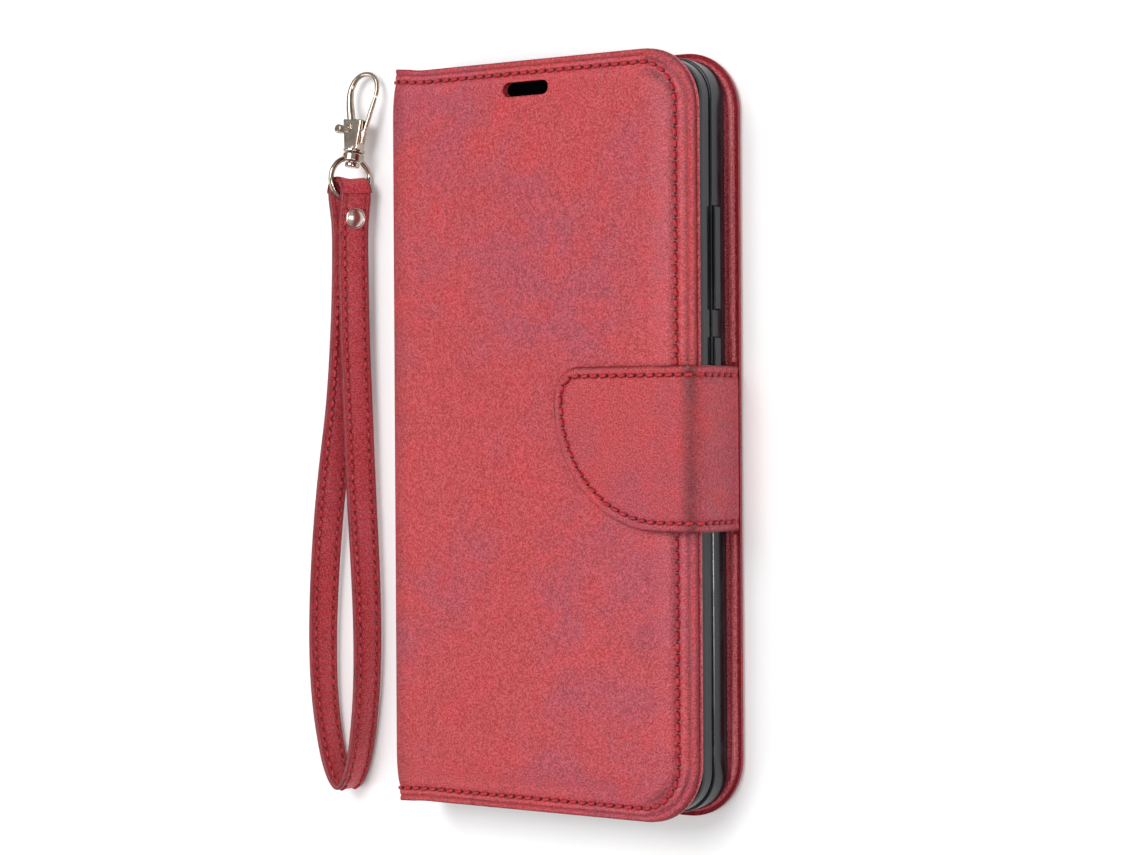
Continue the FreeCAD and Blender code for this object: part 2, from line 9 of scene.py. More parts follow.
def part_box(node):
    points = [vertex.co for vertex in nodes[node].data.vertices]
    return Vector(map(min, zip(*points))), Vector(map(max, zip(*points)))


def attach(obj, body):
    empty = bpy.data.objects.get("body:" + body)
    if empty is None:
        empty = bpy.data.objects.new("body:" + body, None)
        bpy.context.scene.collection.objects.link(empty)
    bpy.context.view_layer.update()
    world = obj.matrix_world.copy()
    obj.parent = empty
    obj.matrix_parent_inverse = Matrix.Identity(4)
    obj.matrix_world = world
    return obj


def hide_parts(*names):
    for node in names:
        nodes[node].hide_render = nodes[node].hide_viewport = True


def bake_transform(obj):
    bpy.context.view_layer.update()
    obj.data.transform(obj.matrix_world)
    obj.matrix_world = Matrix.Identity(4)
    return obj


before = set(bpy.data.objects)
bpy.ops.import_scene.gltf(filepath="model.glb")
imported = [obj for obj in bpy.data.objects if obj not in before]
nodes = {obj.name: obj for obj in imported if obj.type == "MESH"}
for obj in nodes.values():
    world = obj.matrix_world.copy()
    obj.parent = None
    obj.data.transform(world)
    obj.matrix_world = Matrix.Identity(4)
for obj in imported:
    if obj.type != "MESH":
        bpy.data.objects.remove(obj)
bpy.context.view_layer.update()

MM = 0.001
random.seed(7)

# ---------------------------------------------------------------- sizes, in millimetres
HALF_TALL = 81.5
THICK = 15.5
SPINE_OUT = -41.45
CREASE_RADIUS = 1.1
CREASE_X = SPINE_OUT + CREASE_RADIUS       # where a cover starts to turn into the spine
ARC_LENGTH = CREASE_RADIUS * math.pi / 2
SPINE_LEATHER = 0.9
FRONT_EDGE, BACK_EDGE = 39.1, 41.45
COVER_CORNER = 13.0
SHEET_FAR = -80                            # flat sheets start beyond the spine and are cut back to it
GROOVE_IN, RIDGE_IN = 2.05, 3.3            # the pressed groove and the ridge beside it, from the edge
STITCH_IN, STITCH_TOP = 4.95, 2.8
STITCH_PITCH, STRAP_PITCH = 2.4, 2.35
STITCH_LONG, STITCH_RADIUS = 2.15, 0.42
STITCH_CORNER = 9.0
STITCH_SLANT, STITCH_WOBBLE = 8.0, 2.5     # degrees off the seam line, and how unevenly
THREAD_PROUD = 0.2                         # the thread's middle stands this far out of its channel
LINING_START, LINING_EDGE = -39.65, 40.5
FOAM_IN, FOAM_END, FOAM_FLOOR = 6.3, 4.3, 14.4

SLOT_CENTRE = (-4.2, 75.3)
SLOT_SIZE = (12.1, 3.1)
SLOT_CORNER = SLOT_SIZE[1] / 2 - 0.02
WINDOW_CENTRE = (21.0, 58.0)
WINDOW_SIZE = (18.0, 34.0)
WINDOW_CORNER = 5.0

CLASP_LOW, CLASP_HIGH = -20.3, 14.6
TONGUE_TIP = 4.0
TONGUE_SWEEP, TONGUE_CORNER = 27.2, 6.5    # its long curve below and its small corner above
CLASP_SEAM = 2.0
TONGUE_TOP = 17.05
SIDE_OUT = 41.2
CLASP_LEATHER = 1.0
BEND_RADIUS = 3.5
BEND_X = SIDE_OUT - BEND_RADIUS
BEND_LENGTH = BEND_RADIUS * math.pi / 2
SIDE_FLOOR = 1.5

STRAP_WIDE, STRAP_THICK = 7.4, 1.4
STRAP_END_Y = -82.3
STRAP_RISE = math.asin(2.05 / 136.85)      # the band climbs this much from its bottom to the rivet
STRAP_ROW, STRAP_SEAM_OUT = 2.28, 0.66     # its stitch rows, from its middle, and how far out they lie
RIVET_Y, RIVET_RADIUS = 50.4, 2.4


# ---------------------------------------------------------------- modelling helpers
def clear_selection():
    if bpy.context.mode != "OBJECT":
        bpy.ops.object.mode_set(mode="OBJECT")
    bpy.ops.object.select_all(action="DESELECT")


def activate(piece):
    clear_selection()
    piece.select_set(True)
    bpy.context.view_layer.objects.active = piece


def edit(piece):
    activate(piece)
    bpy.ops.object.mode_set(mode="EDIT")


def plane(name, x0, x1, y0, y1, z):
    """Flat sheet at its size and place, left in edit mode."""
    clear_selection()
    bpy.ops.mesh.primitive_plane_add(size=1, location=((x0 + x1) / 2 * MM, (y0 + y1) / 2 * MM, z * MM))
    piece = bpy.context.object
    piece.name = name
    piece.data.name = name
    piece.scale = ((x1 - x0) * MM, (y1 - y0) * MM, 1)
    bpy.ops.object.transform_apply(location=True, rotation=True, scale=True)
    edit(piece)
    return piece


def pick(piece, kind, test):
    """Select only the vertices, edges or faces whose middle, in millimetres, passes the test."""
    bpy.ops.mesh.select_mode(type=kind)
    bpy.ops.mesh.select_all(action="DESELECT")
    mesh = bmesh.from_edit_mesh(piece.data)
    for item in {"VERT": mesh.verts, "EDGE": mesh.edges, "FACE": mesh.faces}[kind]:
        if kind == "VERT":
            middle, facing = item.co, item.normal
        elif kind == "EDGE":
            middle, facing = (item.verts[0].co + item.verts[1].co) / 2, None
        else:
            middle, facing = item.calc_center_median(), item.normal
        if test(middle / MM, facing):
            item.select_set(True)
    mesh.select_flush_mode()
    bmesh.update_edit_mesh(piece.data)


def round_corner(piece, x, y, radius, segments=12):
    pick(piece, "VERT", lambda p, n: abs(p.x - x) < 0.01 and abs(p.y - y) < 0.01)
    bpy.ops.mesh.bevel(offset=radius * MM, segments=segments, affect="VERTICES")


def thicken_up(height):
    """Draw the flat outline up into a slab, and leave its top face selected."""
    bpy.ops.mesh.select_all(action="SELECT")
    bpy.ops.mesh.extrude_region_move(TRANSFORM_OT_translate={"value": (0, 0, height * MM)})


def step_in(distance, rise, stretch=1.0):
    """Inset the selected face and move it out of its plane by rise."""
    bpy.ops.mesh.inset(thickness=distance * MM, depth=0, use_boundary=True, use_even_offset=True)
    bpy.ops.transform.translate(value=(0, 0, rise * MM))
    if stretch != 1.0:
        bpy.ops.transform.resize(value=(1, stretch, 1))


def press_in(height, profile):
    """Step the top face in through a profile of distances from the edge and heights."""
    inset = 0.0
    for at, level in profile:
        step_in(at - inset, level - height)
        inset, height = at, level


def cut_across(x, clear=False):
    """Cut the piece in edit mode across at x, and clear away what lies before it if asked."""
    bpy.ops.mesh.select_mode(type="FACE")
    bpy.ops.mesh.select_all(action="SELECT")
    bpy.ops.mesh.bisect(plane_co=(x * MM, 0, 0), plane_no=(1, 0, 0), use_fill=clear, clear_inner=clear)


def finish_mesh(piece, angle=35):
    """Merge doubles, point every face outwards and shade smooth up to the given angle."""
    edit(piece)
    bpy.ops.mesh.select_all(action="SELECT")
    bpy.ops.mesh.remove_doubles(threshold=0.000004)
    bpy.ops.mesh.normals_make_consistent(inside=False)
    bpy.ops.object.mode_set(mode="OBJECT")
    activate(piece)
    bpy.ops.object.shade_smooth_by_angle(angle=math.radians(angle))


def add_modifier(piece, kind, **settings):
    activate(piece)
    modifier = piece.modifiers.new(kind.title(), kind)
    for key, value in settings.items():
        setattr(modifier, key, value)
    bpy.ops.object.modifier_apply(modifier=modifier.name)


def stadium(name, centre, size, corner, z0, z1, flare=0.0):
    """Rounded solid, used as a cutter or a lip, that opens out by flare at its top."""
    x, y = centre
    wide, tall = size[0] / 2, size[1] / 2
    cutter = plane(name, x - wide, x + wide, y - tall, y + tall, z0)
    for sx in (-1, 1):
        for sy in (-1, 1):
            round_corner(cutter, x + sx * wide, y + sy * tall, corner, 8)
    thicken_up(z1 - z0 - flare)
    if flare:
        bpy.ops.mesh.extrude_region_move(TRANSFORM_OT_translate={"value": (0, 0, flare * MM)})
        scale = ((size[0] + flare) / size[0], (size[1] + flare) / size[1], 1)
        bpy.ops.transform.resize(value=scale)
    finish_mesh(cutter)
    return cutter


def cut_out(piece, cutter):
    """Take the cutter's shape out of the piece, and remove the cutter."""
    add_modifier(piece, "BOOLEAN", operation="DIFFERENCE", object=cutter, solver="EXACT")
    bpy.data.objects.remove(cutter)


def carry(piece, shape):
    """Move every vertex by a function of its place in millimetres."""
    for vertex in piece.data.vertices:
        vertex.co = shape(vertex.co / MM) * MM
    piece.data.update()


def dress(piece, material):
    """Give the piece one material."""
    piece.data.materials.clear()
    piece.data.materials.append(material)


def join(name, pieces, material):
    """Join the pieces as one, named and in one material."""
    clear_selection()
    for piece in pieces:
        piece.select_set(True)
    bpy.context.view_layer.objects.active = pieces[0]
    bpy.ops.object.join()
    piece = bpy.context.object
    piece.name = name
    piece.data.name = name
    dress(piece, material)
    return piece


def smooth_curve(name, points, order, resolution):
    """NURBS curve with the points as its control points, each (x, y, z, radius)."""
    curve = bpy.data.curves.new(name, "CURVE")
    curve.dimensions = "3D"
    spline = curve.splines.new("NURBS")
    spline.points.add(len(points) - 1)
    for target, (x, y, z, radius) in zip(spline.points, points):
        target.co = (x * MM, y * MM, z * MM, 1)
        target.radius = radius
    spline.order_u = order
    spline.use_endpoint_u = True
    spline.resolution_u = resolution
    holder = bpy.data.objects.new(name, curve)
    bpy.context.collection.objects.link(holder)
    return holder


def mark(piece, amount, name="burnish_and_shade"):
    """Store at each vertex, from 0 to 1, how burnished or how worn the hide is, together with any painted
    shade or painted highlight.
    """
    layer = piece.data.attributes.new(name, "FLOAT", "POINT")
    for vertex, value in zip(piece.data.vertices, layer.data):
        value.value = amount(vertex.co / MM)


def smooth(t):
    """Even S-curve from 0 to 1."""
    t = max(0.0, min(1.0, t))
    return t * t * (3 - 2 * t)


# ---------------------------------------------------------------- shader groups
def new_group(name, inputs, outputs):
    group = bpy.data.node_groups.new(name, "ShaderNodeTree")
    for label, kind, value in inputs:
        socket = group.interface.new_socket(label, in_out="INPUT", socket_type=kind)
        if value is not None:
            socket.default_value = value
    for label, kind in outputs:
        group.interface.new_socket(label, in_out="OUTPUT", socket_type=kind)
    enter = group.nodes.new("NodeGroupInput")
    leave = group.nodes.new("NodeGroupOutput")
    return group, enter, leave


def node(tree, kind, values=None, **settings):
    """A shader node with its settings, and its inputs either linked or given a plain value."""
    made = tree.nodes.new(kind)
    for key, value in settings.items():
        setattr(made, key, value)
    fill(tree, made, values or {})
    return made


def fill(tree, made, values):
    """Link each named input to another node's output, or set it to a plain value."""
    for key, value in values.items():
        if isinstance(value, bpy.types.NodeSocket):
            tree.links.new(value, made.inputs[key])
        else:
            made.inputs[key].default_value = value


def linear(red, green, blue):
    """Display colour from 0 to 255 to a linear shader colour."""
    parts = []
    for part in (red, green, blue):
        part /= 255
        parts.append(part / 12.92 if part <= 0.04045 else ((part + 0.055) / 1.055) ** 2.4)
    return (*parts, 1.0)


def ramp(tree, source, low, high, to_low=0.0, to_high=1.0):
    made = node(tree, "ShaderNodeMapRange", {"Value": source, "From Min": low, "From Max": high,
                                             "To Min": to_low, "To Max": to_high})
    made.interpolation_type = "SMOOTHSTEP"
    return made.outputs["Result"]


def mix_colour(tree, factor, first, second):
    return node(tree, "ShaderNodeMix", {0: factor, 6: first, 7: second}, data_type="RGBA").outputs[2]


def times(tree, first, second):
    return node(tree, "ShaderNodeMath", {0: first, 1: second}, operation="MULTIPLY").outputs[0]


def plus(tree, first, second):
    return node(tree, "ShaderNodeMath", {0: first, 1: second}, operation="ADD").outputs[0]


def noise(tree, place, scale, detail=2.0, roughness=0.5, distortion=0.0):
    made = node(tree, "ShaderNodeTexNoise", {"Vector": place, "Scale": scale, "Detail": detail,
                                             "Roughness": roughness, "Distortion": distortion})
    return made.outputs[0]


def lifted(tree, height, strength, distance):
    """The surface's normal once it is raised by a height."""
    made = node(tree, "ShaderNodeBump", {"Height": height, "Strength": strength, "Distance": distance})
    return made.outputs["Normal"]


def stored(tree, name):
    """A value stored at the vertices."""
    return node(tree, "ShaderNodeAttribute", attribute_name=name).outputs["Fac"]


def hide_colour_group():
    """Cloudy dye of polished hide: broad clouds, finer smears and darker burnished edges, plus the painted
    shade and painted highlight stored on the pieces.
    """
    group, enter, leave = new_group(
        "hide dye and painted light",
        [("Vector", "NodeSocketVector", None), ("Base", "NodeSocketColor", None),
         ("Pale", "NodeSocketColor", None), ("Deep", "NodeSocketColor", None),
         ("Edge", "NodeSocketColor", None), ("Rubbed and highlight", "NodeSocketColor", None),
         ("Burnish and shade", "NodeSocketFloat", 0.0), ("Rub and highlight", "NodeSocketFloat", 0.0)],
        [("Color", "NodeSocketColor"), ("Polish", "NodeSocketFloat")])
    place, dye = enter.outputs["Vector"], enter.outputs
    broad = noise(group, place, 34.0, 3.0, 0.6, 0.15)
    cloud = noise(group, place, 120.0, 4.0, 0.65, 0.2)
    speck = noise(group, place, 3000.0, 1.0)
    colour = dye["Base"]
    # The stored masks also lay painted shade (towards the edge colour) and painted highlight (towards the
    # pale worn colour) into the dye.
    for name, amount in (
            ("Pale", times(group, ramp(group, broad, 0.42, 0.66), 0.85)),
            ("Deep", times(group, ramp(group, cloud, 0.45, 0.7), 0.65)),
            ("Rubbed and highlight", times(group, dye["Rub and highlight"], ramp(group, cloud, 0.30, 0.62, 0.6, 1.0))),
            ("Rubbed and highlight", times(group, ramp(group, speck, 0.38, 0.72), 0.50)),
            ("Edge", times(group, ramp(group, speck, 0.58, 0.26), 0.42)),
            ("Edge", times(group, dye["Burnish and shade"], ramp(group, cloud, 0.30, 0.62, 1.0, 0.7)))):
        colour = mix_colour(group, amount, colour, dye[name])
    polish = plus(group, times(group, cloud, 0.6), times(group, speck, 0.4))
    fill(group, leave, {"Color": colour, "Polish": polish})
    return group


def grain_group():
    """Fine pebbled grain with faint creases, as a height from 0 to 1."""
    group, enter, leave = new_group(
        "pebble grain",
        [("Vector", "NodeSocketVector", None), ("Pebble", "NodeSocketFloat", 1300.0),
         ("Crease", "NodeSocketFloat", 0.4)],
        [("Height", "NodeSocketFloat")])
    place = enter.outputs["Vector"]
    pebble = node(group, "ShaderNodeTexVoronoi", {"Vector": place, "Scale": enter.outputs["Pebble"]},
                  feature="SMOOTH_F1")
    crease = node(group, "ShaderNodeTexVoronoi", {"Vector": place, "Scale": 420.0},
                  feature="DISTANCE_TO_EDGE")
    line = times(group, ramp(group, crease.outputs["Distance"], 0.0, 0.12), enter.outputs["Crease"])
    height = plus(group, times(group, pebble.outputs["Distance"], -0.8), line)
    for scale, detail, strength in ((500.0, 2.0, 0.25), (2800.0, 1.0, 1.1)):
        height = plus(group, height, times(group, noise(group, place, scale, detail), strength))
    fill(group, leave, {"Height": height})
    return group


def wear_group():
    """Slow uneven mask for scuffs and handling marks, on plastic and metal."""
    group, enter, leave = new_group(
        "handling marks",
        [("Vector", "NodeSocketVector", None), ("Scale", "NodeSocketFloat", 200.0)],
        [("Mask", "NodeSocketFloat"), ("Height", "NodeSocketFloat")])
    place = enter.outputs["Vector"]
    soft = noise(group, place, enter.outputs["Scale"], 4.0)
    fine = noise(group, place, 2500.0)
    fill(group, leave, {"Mask": ramp(group, soft, 0.4, 0.7),
                        "Height": plus(group, soft, times(group, fine, 0.3))})
    return group


HIDE_DYE_AND_PAINTED_LIGHT = hide_colour_group()
GRAIN = grain_group()
HANDLING = wear_group()
HIDE_CREASE, HIDE_SHEEN = 0.05, 0.38


def new_material(name, preview):
    made = bpy.data.materials.new(name)
    made.use_nodes = True
    made.diffuse_color = preview
    tree = made.node_tree
    shader = tree.nodes["Principled BSDF"]
    place = tree.nodes.new("ShaderNodeTexCoord").outputs["Object"]
    return made, tree, shader, place


def hide(name, base, pale, deep, edge, rubbed_and_highlight, pebble, bump, rough=(0.32, 0.46)):
    """Dyed and grained leather or leather-like sheet."""
    made, tree, shader, place = new_material(name, linear(*base))
    dye = node(tree, "ShaderNodeGroup", node_tree=HIDE_DYE_AND_PAINTED_LIGHT)
    fill(tree, dye, {"Vector": place, "Burnish and shade": stored(tree, "burnish_and_shade"), "Rub and highlight": stored(tree, "rub_and_highlight")})
    fill(tree, dye, {"Base": linear(*base), "Pale": linear(*pale), "Deep": linear(*deep),
                     "Edge": linear(*edge), "Rubbed and highlight": linear(*rubbed_and_highlight)})
    grain = node(tree, "ShaderNodeGroup", node_tree=GRAIN)
    fill(tree, grain, {"Vector": place, "Pebble": pebble, "Crease": HIDE_CREASE})
    fill(tree, shader, {"Base Color": dye.outputs["Color"],
                        "Roughness": ramp(tree, dye.outputs["Polish"], 0.3, 0.7, *rough),
                        "Normal": lifted(tree, grain.outputs["Height"], 0.8, bump),
                        "Specular IOR Level": HIDE_SHEEN})
    return made


def thread_material(name, base, pale, hole_shade):
    """Twisted thread, with painted shade towards its ends where it dips into its needle holes."""
    made, tree, shader, place = new_material(name, linear(*base))
    twist = node(tree, "ShaderNodeTexWave", {"Vector": place, "Scale": 700.0, "Distortion": 1.0},
                 bands_direction="DIAGONAL")
    fuzz = ramp(tree, noise(tree, place, 900.0, 3.0), 0.4, 0.7)
    colour = mix_colour(tree, fuzz, linear(*base), linear(*pale))
    # Painted shade: the thread is darkened near its ends, where shade falls into the needle holes.
    colour = mix_colour(tree, ramp(tree, stored(tree, "dip"), 0.55, 0.9), colour, linear(*hole_shade))
    fill(tree, shader, {"Base Color": colour, "Roughness": 0.55,
                        "Normal": lifted(tree, twist.outputs["Fac"], 0.6, 0.00008)})
    return made


def moulded(name, base, worn, rough, marks=160.0, metallic=0.0, bump=0.00002):
    """Moulded plastic or plated metal with faint handling marks."""
    made, tree, shader, place = new_material(name, linear(*base))
    handling = node(tree, "ShaderNodeGroup", {"Vector": place, "Scale": marks}, node_tree=HANDLING)
    colour = mix_colour(tree, handling.outputs["Mask"], linear(*base), linear(*worn))
    fill(tree, shader, {"Base Color": colour, "Metallic": metallic,
                        "Roughness": ramp(tree, handling.outputs["Mask"], 0.0, 1.0, *rough),
                        "Normal": lifted(tree, handling.outputs["Height"], 0.5, bump)})
    return made


RED_HIDE = hide("red leather", (168, 34, 39), (150, 46, 66), (184, 32, 35), (80, 5, 12),
                (208, 96, 104), 1100.0, 0.0002)
STRAP_HIDE = hide("strap leather", (186, 46, 55), (192, 66, 78), (170, 36, 44), (92, 12, 22),
                  (214, 112, 120), 1300.0, 0.00012)
# Its pale worn colour also serves as the painted highlight on the lining's open-side ridge.
LINING_HIDE = hide("lining sheet", (156, 36, 45), (172, 56, 66), (132, 26, 36), (80, 12, 22),
                   (232, 132, 138), 1500.0, 0.0001, (0.4, 0.58))
RED_THREAD = thread_material("red thread", (158, 14, 28), (182, 34, 46), (66, 4, 12))
TRAY_PLASTIC = moulded("tray plastic", (15, 18, 23), (24, 28, 34), (0.14, 0.22), bump=0.000008)
BOARD_CARD = moulded("board card", (150, 140, 125), (120, 112, 100), (0.8, 0.95), 400.0)
PAD_FOAM = moulded("pad foam", (205, 200, 190), (180, 175, 165), (0.85, 0.98), 600.0)
MAGNET_METAL = moulded("magnet plating", (150, 152, 156), (120, 122, 126), (0.25, 0.45), metallic=1.0)
SATIN_NICKEL = moulded("satin nickel", (214, 204, 194), (196, 186, 174), (0.24, 0.32), 260.0,
                       metallic=1.0, bump=0.00001)
NICKEL = moulded("warm nickel plating", (196, 182, 168), (150, 134, 120), (0.08, 0.2), 260.0,
                 metallic=1.0, bump=0.00001)
SPRING_WIRE = moulded("spring wire", (150, 150, 152), (110, 110, 112), (0.25, 0.4), metallic=1.0)

CAD_MATERIALS = {
    "back_board": BOARD_CARD, "front_board": BOARD_CARD, "front_padding": PAD_FOAM,
    "cover_magnet": MAGNET_METAL, "tongue_magnet": MAGNET_METAL, "pocket_thread": RED_THREAD,
    "gate_spring": SPRING_WIRE}
CAD_MATERIALS.update(dict.fromkeys(("phone_tray", "volume_button", "power_button"), TRAY_PLASTIC))
CAD_MATERIALS.update(dict.fromkeys(
    ("spine_lining", "front_lining", "back_lining", "cash_pocket", "card_slot_1", "card_slot_2",
     "card_slot_3", "clasp_side_lining", "tongue_lining"), LINING_HIDE))
CAD_MATERIALS.update(dict.fromkeys(
    ("rivet_cap", "rivet_post", "swivel_ring", "hook_body", "gate_lever", "gate_pin"), NICKEL))

for name, material in CAD_MATERIALS.items():
    for place in nodes[name].material_slots:
        place.material = material
    if not nodes[name].material_slots:
        nodes[name].data.materials.append(material)


# ---------------------------------------------------------------- covers, with half the spine each
def turn_the_crease(x, depth):
    """A point of the flat sheet goes round the crease and down the spine: its x and its depth."""
    run = CREASE_X - x
    if run <= 0:
        return x, depth
    turned = min(run / ARC_LENGTH, 1.0)
    depth = depth + (min(depth, SPINE_LEATHER) - depth) * turned
    angle = turned * math.pi / 2
    reach = CREASE_RADIUS - depth
    below = max(run - ARC_LENGTH, 0.0)
    return CREASE_X - reach * math.sin(angle), CREASE_RADIUS - reach * math.cos(angle) + below


def flare(x, y):
    """The spine ends stand out a little beyond the covers."""
    near = smooth((-33.0 - x) / 7.0)
    if y > 0:
        return 0.75 * near * smooth((y - 72) / 9.5)
    return -0.4 * near * smooth((-y - 74) / 7.5)


def front_place(point):
    """From the flat sheet, whose outer face is at height 0, to the front cover and the spine."""
    rise = flare(point.x, point.y)
    x, depth = turn_the_crease(point.x, -point.z)
    return Vector((x, point.y + rise, THICK - depth))


def back_place(point):
    """The same for the back cover, whose outer face lies on the table."""
    rise = flare(point.x, point.y)
    x, depth = turn_the_crease(point.x, -point.z)
    return Vector((x, point.y + rise, depth))


def cover_sheet(name, edge_x, wall, base_depth, profile):
    """Flat cover with rounded corners, turned edge, stitch channel and padded panel, cut for its crease."""
    sheet = plane(name, SHEET_FAR, edge_x, -HALF_TALL, HALF_TALL, -base_depth)
    for y in (-HALF_TALL, HALF_TALL):
        round_corner(sheet, edge_x, y, COVER_CORNER, 16)
    thicken_up(wall)
    inset = 0.0
    drawn = 0.0
    height = wall - base_depth
    for at, depth in profile:
        step = at - inset
        top_step = step * STITCH_TOP / STITCH_IN if at < 5.6 else step
        stretch = (HALF_TALL - drawn - top_step) / (HALF_TALL - drawn - step)
        step_in(step, -depth - height, stretch)
        inset, height = at, -depth
        drawn += top_step
    end = CREASE_X - ARC_LENGTH - (THICK / 2 - CREASE_RADIUS)
    cut_across(end, clear=True)
    for x in [CREASE_X - ARC_LENGTH * k / 6 for k in range(7)] + [-37.0, -35.0, -33.0]:
        cut_across(x)
    return sheet


def distance_in(point, edge_x):
    """How far a point of a flat sheet is from its free edge."""
    inset = min(edge_x - point.x, (HALF_TALL - abs(point.y)) * STITCH_IN / STITCH_TOP)
    past_x, past_y = point.x - edge_x + COVER_CORNER, abs(point.y) - HALF_TALL + COVER_CORNER
    if past_x > 0 and past_y > 0:
        inset = min(inset, COVER_CORNER - math.hypot(past_x, past_y))
    return inset


def burnish_and_painted_shade(edge_x, rim_strength):
    """Dark along the rim as burnishing, with painted shade in the pressed groove, in the stitch channel and
    at the spine crease of a flat sheet.
    """
    def amount(point):
        inset = distance_in(point, edge_x)
        rim = 1.0 - smooth(inset / 0.9)
        # Painted shade: the groove, the stitch channel and the spine crease are darkened where shade falls,
        # beside the real burnishing of the rim.
        groove = 0.9 * max(0.0, 1 - abs(inset - GROOVE_IN) / 0.55)
        channel = 0.75 * max(0.0, 1 - abs(inset - STITCH_IN) / 1.0)
        crease = 0.35 * smooth((-37.5 - point.x) / 3)
        return max(rim * rim_strength, groove, channel, crease)
    return amount


def shoulder_rub(edge_x):
    """Paler where handling rubs the ridge beside the groove and the shoulder of the panel."""
    def amount(point):
        inset = distance_in(point, edge_x)
        if point.x < CREASE_X:
            return 0.0
        ridge = 0.35 * max(0.0, 1 - abs(inset - RIDGE_IN) / 0.7)
        return max(ridge, 0.25 * smooth((inset - 5.4) / 1.2) * (1 - smooth((inset - 7.5) / 4.5)))
    return amount


FRONT_PROFILE = [(0.10, 0.86), (0.30, 0.76), (0.75, 0.70), (1.45, 0.72), (1.80, 0.86), (2.20, 0.88),
                 (2.55, 0.74), (3.40, 0.64), (4.10, 0.70), (4.50, 0.84), (5.30, 0.86), (5.80, 0.62),
                 (6.80, 0.38), (8.30, 0.20), (10.2, 0.07), (12.2, 0.0)]
BACK_PROFILE = [(0.15, 0.50), (0.40, 0.34), (0.80, 0.26), (1.45, 0.26), (1.80, 0.38), (2.20, 0.40),
                (2.55, 0.28), (3.40, 0.20), (4.10, 0.24), (4.50, 0.36), (5.30, 0.38), (5.80, 0.22),
                (7.20, 0.06), (9.0, 0.0)]

front_hide = cover_sheet("front_cover_leather", FRONT_EDGE, 0.62, 1.6, FRONT_PROFILE)
clear_selection()
mark(front_hide, burnish_and_painted_shade(FRONT_EDGE, 0.75))
mark(front_hide, shoulder_rub(FRONT_EDGE), "rub_and_highlight")
cut_out(front_hide, stadium("slot_cutter", SLOT_CENTRE, SLOT_SIZE, SLOT_CORNER, -4, 0.05, 0.45))
carry(front_hide, front_place)
finish_mesh(front_hide)
dress(front_hide, RED_HIDE)

back_hide = cover_sheet("back_cover_leather", BACK_EDGE, 0.8, 1.5, BACK_PROFILE)
pick(back_hide, "FACE", lambda p, n: n.z < -0.9 and p.x > -40)
bpy.ops.mesh.inset(thickness=0.95 * MM, depth=0, use_boundary=True)
bpy.ops.transform.translate(value=(0, 0, 0.7 * MM))
clear_selection()
mark(back_hide, burnish_and_painted_shade(BACK_EDGE, 0.3))
mark(back_hide, shoulder_rub(BACK_EDGE), "rub_and_highlight")
cut_out(back_hide, stadium("window_cutter", WINDOW_CENTRE, WINDOW_SIZE, WINDOW_CORNER, -4, 0.05, 0.45))
carry(back_hide, back_place)
finish_mesh(back_hide)
dress(back_hide, RED_HIDE)

LINING_PROFILE = [(0.25, 1.78), (0.55, 1.92), (1.05, 1.92), (1.5, 1.62), (2.0, 1.6), (2.5, 1.86),
                  (3.0, 1.96)]
back_inner = plane("back_cover_lining", SHEET_FAR, LINING_EDGE, 1 - HALF_TALL, HALF_TALL - 1, 0.8)
for y in (1 - HALF_TALL, HALF_TALL - 1):
    round_corner(back_inner, LINING_EDGE, y, 12.0, 16)
thicken_up(0.7)
press_in(1.5, LINING_PROFILE)
cut_across(LINING_START, clear=True)
clear_selection()
# Painted highlight: the lining's ridge is stored paler, at 0.7, only on its open side, where light strikes
# it; this is not wear.
mark(back_inner, lambda p: 0.7 if p.z > 1.85 and p.x > LINING_EDGE - 1.3 else 0.0, "rub_and_highlight")
cut_out(back_inner, stadium("lining_cutter", WINDOW_CENTRE, WINDOW_SIZE, WINDOW_CORNER, 0, 4))
cut_out(back_inner, stadium("notch_cutter", (41.4, (CLASP_LOW + CLASP_HIGH) / 2), (4.0, 36.5), 0.4, 0, 4))
finish_mesh(back_inner)
dress(back_inner, LINING_HIDE)

foam_y = HALF_TALL - FOAM_END
front_foam = plane("front_foam", -38.4, FRONT_EDGE - FOAM_IN, -foam_y, foam_y, FOAM_FLOOR)
for y in (-foam_y, foam_y):
    round_corner(front_foam, FRONT_EDGE - FOAM_IN, y, 7.0, 8)
thicken_up(0.12)
step_in(0.5, 0.14)
clear_selection()
cut_out(front_foam, stadium("foam_cutter", SLOT_CENTRE, (14.1, 5.1), 2.5, 14, 16))
finish_mesh(front_foam)
dress(front_foam, PAD_FOAM)

# A turned-down lip of hide lines the slot, between the lining and the outer leather.
board_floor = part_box("front_board")[0][2] / MM
slot_lip = stadium("slot_lip", SLOT_CENTRE, (SLOT_SIZE[0] + 1.7, SLOT_SIZE[1] + 1.7),
                   SLOT_SIZE[1] / 2 + 0.83, board_floor, 14.9)
cut_out(slot_lip, stadium("lip_cutter", SLOT_CENTRE, SLOT_SIZE, SLOT_CORNER, 10, 16))
finish_mesh(slot_lip)
dress(slot_lip, RED_HIDE)


# ---------------------------------------------------------------- clasp
def round_the_bend(point):
    """From the flat tongue, over the bend and down the side strip."""
    run = point.x - BEND_X
    depth = -point.z
    if run <= 0:
        return Vector((point.x, point.y, TONGUE_TOP - depth))
    angle = min(run / BEND_LENGTH, 1.0) * math.pi / 2
    reach = BEND_RADIUS - depth
    below = max(run - BEND_LENGTH, 0.0)
    return Vector((BEND_X + reach * math.sin(angle), point.y,
                   TONGUE_TOP - BEND_RADIUS + reach * math.cos(angle) - below))


